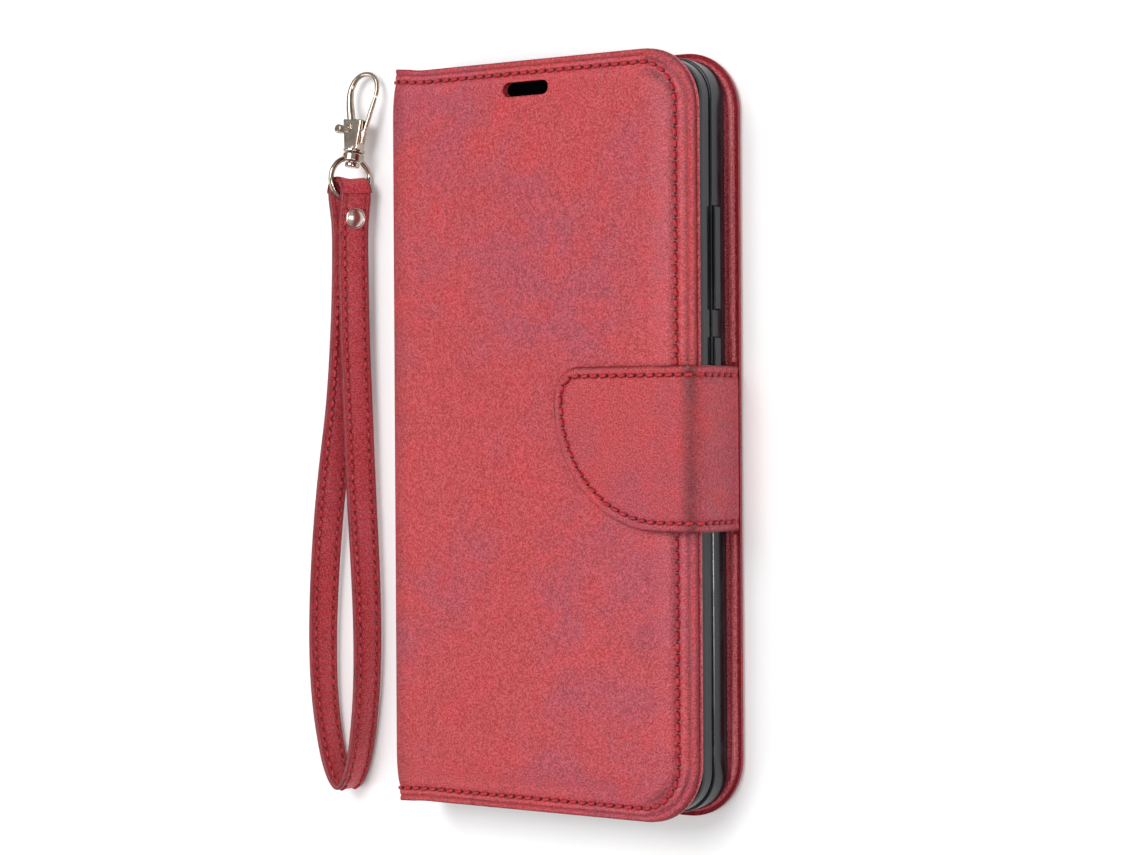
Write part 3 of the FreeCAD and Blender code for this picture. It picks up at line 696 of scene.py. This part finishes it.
SIDE_RUN = TONGUE_TOP - BEND_RADIUS - SIDE_FLOOR
STRIP_END = BEND_X + BEND_LENGTH + SIDE_RUN
CLASP_PROFILE = [(0.12, 0.2), (0.35, 0.07), (0.8, 0.02), (1.35, 0.06), (1.7, 0.16), (2.3, 0.17),
                 (2.65, 0.07), (3.4, 0.0)]
CLASP_CUTS = [BEND_X + BEND_LENGTH * k / 8 for k in range(9)]
CLASP_CUTS += [36.9, 36.0, 34.0, 31.5, 29.0, STRIP_END - 1.4, STRIP_END - 0.7]


def clasp_burnish_and_painted_shade(point):
    """Dark along the clasp's edge as burnishing, with painted shade in its stitch line and on its fold."""
    inset = min(CLASP_HIGH - point.y, point.y - CLASP_LOW, point.x - TONGUE_TIP)
    # Painted shade: the fold and the stitch line are darkened where shade falls on them.
    bend = smooth(1 - abs(point.x - BEND_X - 1.2) / 3.2)
    edge = 0.85 * (1 - smooth(inset / 0.9))
    seam = 0.3 * max(0.0, 1 - abs(inset - CLASP_SEAM) / 0.6)
    return max(edge, seam, 0.85 * bend)


def clasp_rub(point):
    """Paler where the side strip's lower end rubs."""
    return 0.6 * smooth((point.x - STRIP_END + 1.4) / 1.2)


clasp_hide = plane("clasp_leather", TONGUE_TIP, 90, CLASP_LOW, CLASP_HIGH, -CLASP_LEATHER)
round_corner(clasp_hide, TONGUE_TIP, CLASP_LOW, TONGUE_SWEEP, 28)
round_corner(clasp_hide, TONGUE_TIP, CLASP_HIGH, TONGUE_CORNER, 12)
thicken_up(CLASP_LEATHER - 0.35)
press_in(-0.35, [(at, -depth) for at, depth in CLASP_PROFILE])
bpy.ops.mesh.select_all(action="SELECT")
bpy.ops.mesh.bisect(plane_co=(STRIP_END * MM, 0, 0), plane_no=(-1, 0, 0), use_fill=True,
                    clear_inner=True)
for column in CLASP_CUTS:
    cut_across(column)
clear_selection()
mark(clasp_hide, clasp_burnish_and_painted_shade)
mark(clasp_hide, clasp_rub, "rub_and_highlight")
carry(clasp_hide, round_the_bend)
finish_mesh(clasp_hide)
dress(clasp_hide, RED_HIDE)


# ---------------------------------------------------------------- stitches
def model_stitch():
    """One sewn stitch: a short thread, fat in the middle, that dips into the leather at both ends."""
    clear_selection()
    bpy.ops.mesh.primitive_cylinder_add(vertices=6, radius=STITCH_RADIUS * MM, depth=STITCH_LONG * MM,
                                        rotation=(0, math.pi / 2, 0))
    stitch = bpy.context.object
    bpy.ops.object.transform_apply(location=True, rotation=True, scale=True)
    edit(stitch)
    for x in (0.0, -0.6, 0.6):
        cut_across(x)
    for side in (-1, 1):
        pick(stitch, "VERT", lambda p, n: abs(p.x - side * STITCH_LONG / 2) < 0.01)
        bpy.ops.transform.resize(value=(1, 0.6, 0.5))
        bpy.ops.transform.translate(value=(0, 0, -0.2 * MM))
    bpy.ops.object.mode_set(mode="OBJECT")
    layer = stitch.data.attributes.new("dip", "FLOAT", "POINT")
    for vertex, value in zip(stitch.data.vertices, layer.data):
        value.value = smooth(abs(vertex.co.x) / (STITCH_LONG / 2 * MM))
    return stitch


STITCH = model_stitch()


def lay_stitch(matrix):
    """A copy of the stitch moved to its place."""
    copy = STITCH.copy()
    copy.data = STITCH.data.copy()
    copy.data.transform(matrix)
    bpy.context.collection.objects.link(copy)
    return copy


def sew(name, places, shape):
    """Copies of the stitch along places, each (x, y, height, direction in degrees), joined as one piece."""
    copies = []
    for x, y, height, direction in places:
        slant = STITCH_SLANT + random.uniform(-STITCH_WOBBLE, STITCH_WOBBLE)
        turn = Matrix.Rotation(math.radians(direction + slant), 4, "Z")
        copies.append(lay_stitch(Matrix.Translation(Vector((x, y, height)) * MM) @ turn))
    piece = join(name, copies, RED_THREAD)
    carry(piece, shape)
    finish_mesh(piece, 60)
    return piece


def along(points):
    """Evenly spaced places along a run of points: (x, y, direction in degrees)."""
    lengths = [math.dist(a, b) for a, b in zip(points, points[1:])]
    total = sum(lengths)
    count = max(2, round(total / STITCH_PITCH))
    places = []
    for index in range(count):
        left = (index + 0.5) * total / count
        segment = 0
        while left > lengths[segment] and segment < len(lengths) - 1:
            left -= lengths[segment]
            segment += 1
        a, b = points[segment], points[segment + 1]
        t = left / lengths[segment]
        places.append((a[0] + (b[0] - a[0]) * t, a[1] + (b[1] - a[1]) * t,
                       math.degrees(math.atan2(b[1] - a[1], b[0] - a[0]))))
    return places


def arc(cx, cy, radius, start, end, steps=16):
    """Points round an arc between two directions in degrees."""
    points = []
    for k in range(steps + 1):
        angle = math.radians(start + (end - start) * k / steps)
        points.append((cx + radius * math.cos(angle), cy + radius * math.sin(angle)))
    return points


def cover_stitches(edge_x, depth):
    """Down the open side and along both ends of a flat cover, as far as the crease."""
    x1 = edge_x - STITCH_IN
    y1 = HALF_TALL - STITCH_TOP
    turn = x1 - STITCH_CORNER
    line = [(CREASE_X - 1.5, y1), (turn, y1)]
    line += arc(turn, y1 - STITCH_CORNER, STITCH_CORNER, 90, 0)[1:]
    line += arc(turn, STITCH_CORNER - y1, STITCH_CORNER, 0, -90)
    line += [(CREASE_X - 1.5, -y1)]
    return [(x, y, THREAD_PROUD - depth, angle) for x, y, angle in along(line)]


front_stitches = sew("front_stitches", cover_stitches(FRONT_EDGE, 0.86), front_place)
back_stitches = sew("back_stitches", cover_stitches(BACK_EDGE, 0.63), back_place)

seam_high, seam_low = CLASP_HIGH - CLASP_SEAM, CLASP_LOW + CLASP_SEAM
corner_x, sweep_x = TONGUE_TIP + TONGUE_CORNER, TONGUE_TIP + TONGUE_SWEEP
tongue_line = [(STRIP_END - 1, seam_high), (corner_x, seam_high)]
tongue_line += arc(corner_x, CLASP_HIGH - TONGUE_CORNER, TONGUE_CORNER - CLASP_SEAM, 90, 180)[1:]
tongue_line += arc(sweep_x, CLASP_LOW + TONGUE_SWEEP, TONGUE_SWEEP - CLASP_SEAM, 180, 270)
tongue_line += [(STRIP_END - 1, seam_low)]
clasp_stitches = sew("clasp_stitches", [(x, y, 0.08, angle) for x, y, angle in along(tongue_line)],
                     round_the_bend)


# ---------------------------------------------------------------- wrist strap
# Where the band touches the table, in order round the loop: y, x and the lean there in degrees.
STRAP_ROUTE = [
    (58.5, -60.45, 27), (58.3, -59.2, 27), (56.0, -58.5, 27), (52.5, -58.95, 27), (48.0, -59.6, 27),
    (34.0, -59.65, 27), (20.0, -59.5, 26), (6.0, -58.95, 25), (-8.0, -58.5, 24), (-22.0, -57.8, 22),
    (-36.0, -57.15, 19), (-48.0, -57.0, 16), (-60.0, -57.55, 12), (-71.0, -59.1, 8), (-78.5, -61.0, 5),
    (-82.6, -64.0, 4), (-78.5, -67.0, 5), (-71.0, -68.9, 8), (-60.0, -70.4, 12), (-48.0, -70.6, 16),
    (-36.0, -70.0, 19), (-22.0, -68.7, 22), (-8.0, -66.7, 24), (6.0, -64.1, 25), (20.0, -62.6, 26),
    (34.0, -61.65, 27), (48.0, -61.3, 27), (52.5, -61.95, 27), (56.0, -62.4, 27), (58.3, -61.7, 27),
    (58.5, -60.45, 27)]
CAD_LEAN, CAD_HALF_BAND = math.radians(22.0), 3.65


def strap_point(y, x, lean):
    """A point of the band's middle line, from where its lower edge rests."""
    lean = math.radians(lean)
    lift = (y - STRAP_END_Y) * math.sin(STRAP_RISE)
    rest = STRAP_WIDE / 2 * math.cos(lean) + STRAP_THICK / 2 * math.sin(lean) + 0.1
    return Vector((x - math.sin(CAD_LEAN) * CAD_HALF_BAND, y, max(lift, 0.0) + rest))


def spline_line(name, points):
    """The route as one smooth line, read back as points."""
    holder = smooth_curve(name, [(*point, 1.0) for point in points], 3, 12)
    bpy.context.view_layer.update()
    mesh = bpy.data.meshes.new_from_object(holder)
    line = [vertex.co.copy() / MM for vertex in mesh.vertices]
    bpy.data.objects.remove(holder)
    bpy.data.meshes.remove(mesh)
    return line


strap_line = spline_line("strap_route", [strap_point(*row) for row in STRAP_ROUTE])


def lean_at(y):
    """How far the band leans over at y, in radians."""
    rows = sorted((row[0], row[2]) for row in STRAP_ROUTE)
    for (y0, l0), (y1, l1) in zip(rows, rows[1:]):
        if y0 <= y <= y1 and y1 > y0:
            return math.radians(l0 + (l1 - l0) * (y - y0) / (y1 - y0))
    return math.radians(rows[0][1] if y < rows[0][0] else rows[-1][1])


def strap_frames(line):
    """At each point of the line: the point, across the band and out of its face."""
    frames = []
    last = len(line) - 1
    for index, point in enumerate(line):
        tangent = (line[min(index + 1, last)] - line[max(index - 1, 0)]).normalized()
        lean = lean_at(point.y)
        up = Vector((-math.sin(lean), 0, math.cos(lean)))
        up = (up - tangent * tangent.dot(up)).normalized()
        frames.append((point, up, tangent.cross(up)))
    return frames


FRAMES = strap_frames(strap_line)
HALF_BAND = STRAP_WIDE / 2
SECTION = [(-HALF_BAND, 0.0), (-HALF_BAND + 0.06, 0.42), (-HALF_BAND + 0.3, 0.64), (-2.85, 0.70),
           (-2.45, 0.60), (-2.1, 0.60), (-1.7, 0.71), (0.0, 0.76), (1.7, 0.71), (2.1, 0.60), (2.45, 0.60),
           (2.85, 0.70), (HALF_BAND - 0.3, 0.64), (HALF_BAND - 0.06, 0.42)]
SECTION += [(-across, -out) for across, out in SECTION]


def sweep(name, frames, section):
    """A strip of one section carried along the frames, with both ends closed."""
    mesh = bmesh.new()
    burnish_and_shade_layer = mesh.verts.layers.float.new("burnish_and_shade")
    rings = []
    for point, up, out in frames:
        rings.append([mesh.verts.new((point + up * a + out * b) * MM) for a, b in section])
    for ring in rings:
        # Burnishing darkens the band's edges; painted shade darkens its stitch grooves.
        for vertex, (a, b) in zip(ring, section):
            edge = smooth((abs(a) - HALF_BAND + 0.75) / 0.6)
            vertex[burnish_and_shade_layer] = max(0.9 * edge, 0.5 if 2.0 < abs(a) < 2.5 else 0.0)
    count = len(section)
    for one, two in zip(rings, rings[1:]):
        for k in range(count):
            mesh.faces.new((one[k], one[(k + 1) % count], two[(k + 1) % count], two[k]))
    mesh.faces.new(rings[0][::-1])
    mesh.faces.new(rings[-1])
    data = bpy.data.meshes.new(name)
    mesh.to_mesh(data)
    mesh.free()
    piece = bpy.data.objects.new(name, data)
    bpy.context.collection.objects.link(piece)
    finish_mesh(piece)
    dress(piece, STRAP_HIDE)
    return piece


strap = sweep("wrist_strap", FRAMES, SECTION)

# A short keeper of the same leather is wrapped over the fold, outside the band.
KEEPER_END = 55.9
KEEPER_SECTION = [(-3.78, -0.60), (-3.78, -0.84), (-3.6, -0.96), (-2.9, -1.0), (0.0, -1.02), (2.9, -1.0),
                  (3.6, -0.96), (3.78, -0.84), (3.78, -0.60)]
last_run = [row for row in FRAMES[len(FRAMES) // 2:] if row[0].y > KEEPER_END]
first_run = [row for row in FRAMES[:len(FRAMES) // 2] if row[0].y > KEEPER_END]
keeper = sweep("strap_keeper", last_run + first_run[1:], KEEPER_SECTION)


def strap_stitches():
    """Two rows on both faces of the band, laid by the band's own frames."""
    lengths = [0.0]
    for a, b in zip(strap_line, strap_line[1:]):
        lengths.append(lengths[-1] + (b - a).length)
    copies = []
    bare = 8                                   # no stitches this near the fold
    count = int((lengths[-1] - 2 * bare) / STRAP_PITCH)
    for k in range(count):
        at = bare + k * STRAP_PITCH
        index = next(i for i, run in enumerate(lengths) if run >= at)
        t = (at - lengths[index - 1]) / (lengths[index] - lengths[index - 1])
        point = FRAMES[index - 1][0].lerp(FRAMES[index][0], t)
        up = FRAMES[index - 1][1].lerp(FRAMES[index][1], t).normalized()
        out = FRAMES[index - 1][2].lerp(FRAMES[index][2], t).normalized()
        for across in (-STRAP_ROW, STRAP_ROW):
            for face in (-1, 1):
                tilt = random.uniform(-0.06, 0.06)
                normal = out * face
                run = normal.cross(up).normalized()
                run = (run + up * (0.1 + tilt)).normalized()
                matrix = Matrix((run, normal.cross(run), normal)).transposed().to_4x4()
                matrix.translation = (point + up * across + normal * STRAP_SEAM_OUT) * MM
                copies.append(lay_stitch(matrix))
    piece = join("strap_stitches", copies, RED_THREAD)
    finish_mesh(piece, 60)
    return piece


strap_sewing = strap_stitches()
bpy.data.objects.remove(STITCH)


def nearest_frame(y):
    """The frame of the band's front layer at that height of the case."""
    return min(FRAMES[:len(FRAMES) // 2], key=lambda row: abs(row[0].y - y))


def stand_on(piece, origin, side, normal):
    """Turn a piece modelled at the origin, facing +Z, to stand at origin and face along normal."""
    third = normal.cross(side).normalized()
    matrix = Matrix((side, third, normal)).transposed().to_4x4()
    matrix.translation = origin * MM
    piece.data.transform(matrix)


clear_selection()
bpy.ops.mesh.primitive_cylinder_add(vertices=48, radius=RIVET_RADIUS * MM, depth=0.5 * MM,
                                    location=(0, 0, 0.2 * MM))
rivet = bpy.context.object
rivet.name = "rivet_dome"
rivet.data.name = "rivet_dome"
bpy.ops.object.transform_apply(location=True, rotation=True, scale=True)
edit(rivet)
pick(rivet, "FACE", lambda p, n: n.z > 0.9)
for distance, rise in ((0.10, 0.12), (0.12, 0.05), (0.15, 0.0), (0.12, -0.05), (0.25, 0.13), (0.45, 0.16),
                       (0.45, 0.08), (0.35, 0.02)):
    step_in(distance, rise)
finish_mesh(rivet, 50)
rivet_frame = nearest_frame(RIVET_Y)
stand_on(rivet, rivet_frame[0] - rivet_frame[2] * 0.72, rivet_frame[1], -rivet_frame[2])
dress(rivet, SATIN_NICKEL)

# ---------------------------------------------------------------- swivel hook
HOOK_ORIGIN = Vector((-61.508, 64.325, 4.816))
HOOK_ALONG = Vector((0.06247, 0.98820, -0.13984)).normalized()
HOOK_UP = Vector((0.00882, 0.13956, 0.99017))
HOOK_ACROSS = HOOK_ALONG.cross(HOOK_UP).normalized()
HOOK_UP = HOOK_ACROSS.cross(HOOK_ALONG).normalized()


def to_hook(piece):
    """From the hook's own frame, across, along and up, to its place on the strap."""
    matrix = Matrix((HOOK_ACROSS, HOOK_ALONG, HOOK_UP)).transposed().to_4x4()
    matrix.translation = HOOK_ORIGIN * MM
    piece.data.transform(matrix)


def bent_wire(name, points):
    """Round tapering wire through a smooth run of points: across, along, up and radius."""
    holder = smooth_curve(name, points, 4, 8)
    curve = holder.data
    curve.bevel_depth = MM
    curve.bevel_resolution = 5
    curve.use_fill_caps = True
    activate(holder)
    bpy.ops.object.convert(target="MESH")
    piece = bpy.context.object
    piece.name = name
    piece.data.name = name
    finish_mesh(piece, 50)
    return piece


def plate(name, corners, z0, z1, round_by):
    """Flat plate: a grid square drawn out to four corners, thickened and its edges rounded."""
    piece = plane(name, -1, 1, -1, 1, z0)
    bpy.ops.object.mode_set(mode="OBJECT")
    order = [(-1, -1), (1, -1), (1, 1), (-1, 1)]
    for vertex in piece.data.vertices:
        x, y = corners[order.index((round(vertex.co.x / MM), round(vertex.co.y / MM)))]
        vertex.co = Vector((x, y, z0)) * MM
    edit(piece)
    thicken_up(z1 - z0)
    bpy.ops.object.mode_set(mode="OBJECT")
    add_modifier(piece, "BEVEL", width=round_by * MM, segments=3, limit_method="ANGLE")
    finish_mesh(piece, 40)
    return piece


def turned(name, radius, y0, y1, round_by, x=0.0, z=0.0, axis="Y"):
    """Short turned boss along the hook, or through it, with rounded ends."""
    clear_selection()
    turn = (math.pi / 2, 0, 0) if axis == "Y" else (0, 0, 0)
    middle = (x, (y0 + y1) / 2, z) if axis == "Y" else (x, z, (y0 + y1) / 2)
    bpy.ops.mesh.primitive_cylinder_add(vertices=32, radius=radius * MM, depth=(y1 - y0) * MM, rotation=turn,
                                        location=Vector(middle) * MM)
    piece = bpy.context.object
    piece.name = name
    bpy.ops.object.transform_apply(location=True, rotation=True, scale=True)
    add_modifier(piece, "BEVEL", width=round_by * MM, segments=3, limit_method="ANGLE")
    finish_mesh(piece, 40)
    return piece


HUB_GAP = 1.2
eye = bent_wire("hook_eye", [(-1.6, 7.4, 0, 1.05), (-2.3, 10.0, 0, 1.0), (-3.3, 13.0, 0, 0.86),
                             (-3.5, 16.4, 0, 0.74), (-1.9, 19.4, 0, 0.62), (1.6, 20.2, 0, 0.58),
                             (4.3, 18.6, 0, 0.56), (4.6, 15.9, 0, 0.54), (4.3, 14.6, 0, 0.50)])
body = plate("hook_plate", [(-2.0, 1.8), (1.8, 1.8), (2.2, 8.9), (-3.5, 9.0)], -1.4, 1.4, 0.35)
boss = turned("hook_boss", 1.25, 1.35, 1.62, 0.12, -1.7, 7.0, "Z")
flange = turned("hook_flange", 2.55, HUB_GAP, HUB_GAP + 0.8, 0.25)
neck = turned("hook_neck", 0.85, -2.0, 2.0, 0.05)
peen = turned("hook_peen", 1.7, -HUB_GAP - 1.1, -HUB_GAP, 0.35)
hook_piece = join("swivel_hook", [eye, body, boss, flange, neck, peen], NICKEL)
to_hook(hook_piece)

gate_bar = bent_wire("gate_bar", [(2.0, 3.4, 0, 0.55), (2.5, 6.5, 0, 0.60), (3.2, 10.0, 0, 0.56),
                                  (4.0, 13.2, 0, 0.48), (4.25, 14.3, 0, 0.42)])
gate_root = plate("gate_root", [(-5.2, 6.0), (2.4, 4.6), (2.6, 6.4), (-5.2, 7.9)], -0.7, 0.7, 0.2)
thumb = turned("gate_thumb", 1.05, -0.75, 0.75, 0.35, -5.3, 6.9, "Z")
gate_piece = join("hook_gate", [gate_bar, gate_root, thumb], NICKEL)
to_hook(gate_piece)

# ---------------------------------------------------------------- what follows which body
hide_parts("front_leather")
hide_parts("front_thread")
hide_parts("front_padding")
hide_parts("back_lining")
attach(back_inner, "case_back")
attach(front_foam, "front_cover")
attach(slot_lip, "front_cover")
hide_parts("back_leather", "spine_leather")
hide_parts("back_thread")
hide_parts("tongue_leather", "clasp_side_leather")
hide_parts("tongue_thread")
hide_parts("strap_band")
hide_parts("rivet_cap")
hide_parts("hook_body")
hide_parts("gate_lever")
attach(keeper, "strap")
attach(rivet, "strap")
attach(hook_piece, "hook")
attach(gate_piece, "gate")

for piece in (front_hide, front_stitches):
    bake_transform(piece)
for piece in (back_hide, back_stitches):
    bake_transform(piece)
for piece in (clasp_hide, clasp_stitches):
    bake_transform(piece)
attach(strap, "strap")
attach(strap_sewing, "strap")

strap_length = sum((b - a).length for a, b in zip(strap_line, strap_line[1:])) * MM


# ---------------------------------------------------------------- table, light and camera
clear_selection()
bpy.ops.mesh.primitive_plane_add(size=6, location=(0, 0, -0.00005))
table = bpy.context.object
table.name = "table"
bpy.ops.object.transform_apply(location=True, rotation=True, scale=True)
paper, paper_tree, paper_shader, paper_place = new_material("pale table", (0.9, 0.9, 0.9, 1))
paper_colour = mix_colour(paper_tree, noise(paper_tree, paper_place, 30.0),
                          linear(250, 250, 250), linear(246, 246, 246))
fill(paper_tree, paper_shader, {"Base Color": paper_colour, "Roughness": 0.9})
table.data.materials.append(paper)


def soft_light(name, place, target, size, power):
    """Rectangular lamp, in metres and watts, turned to its target."""
    light = bpy.data.lights.new(name, "AREA")
    light.shape = "RECTANGLE"
    light.size, light.size_y = size
    light.energy = power
    lamp = bpy.data.objects.new(name, light)
    lamp.location = place
    lamp.rotation_euler = (Vector(target) - Vector(place)).to_track_quat("-Z", "Y").to_euler()
    bpy.context.collection.objects.link(lamp)


soft_light("key_light", (-0.15, 0.55, 1.2), (0, 0, 0), (0.8, 0.8), 12)
soft_light("fill_light", (-0.9, -0.3, 0.8), (0, 0, 0), (0.9, 0.9), 5)
soft_light("side_light", (1.1, -0.1, 0.65), (0.03, 0, 0.01), (0.08, 1.6), 8)

world = bpy.data.worlds.new("studio")
world.use_nodes = True
sky = world.node_tree
sky_place = sky.nodes.new("ShaderNodeTexCoord").outputs["Generated"]
height = node(sky, "ShaderNodeSeparateXYZ", {"Vector": sky_place}).outputs["Z"]
sky_colour = mix_colour(sky, ramp(sky, height, 0.05, 0.55), (0.10, 0.10, 0.11, 1), (1, 1, 1, 1))
fill(sky, sky.nodes["Background"], {"Color": sky_colour, "Strength": 0.42})
scene = bpy.context.scene
scene.world = world
scene.view_settings.view_transform = "Standard"

CAMERA_PLACE = Vector((0.35330, 0.00358, 0.50086))
TURN, PITCH, ROLL = math.radians(35.476), math.radians(-0.178), math.radians(-0.335)
ahead = Vector((-math.sin(TURN), 0, -math.cos(TURN)))
right = Vector((math.cos(TURN), 0, -math.sin(TURN)))
up = Vector((0, 1, 0))
ahead_pitched = ahead * math.cos(PITCH) + up * math.sin(PITCH)
up_pitched = up * math.cos(PITCH) - ahead * math.sin(PITCH)
right_rolled = right * math.cos(ROLL) + up_pitched * math.sin(ROLL)
up_rolled = up_pitched * math.cos(ROLL) - right * math.sin(ROLL)
lens = bpy.data.cameras.new("camera")
lens.lens = 87.82
lens.sensor_width = 36.0
lens.clip_start = 0.01
camera = bpy.data.objects.new("camera", lens)
facing = Matrix((right_rolled, up_rolled, -ahead_pitched)).transposed().to_4x4()
facing.translation = CAMERA_PLACE
camera.matrix_world = facing
bpy.context.collection.objects.link(camera)
scene.camera = camera
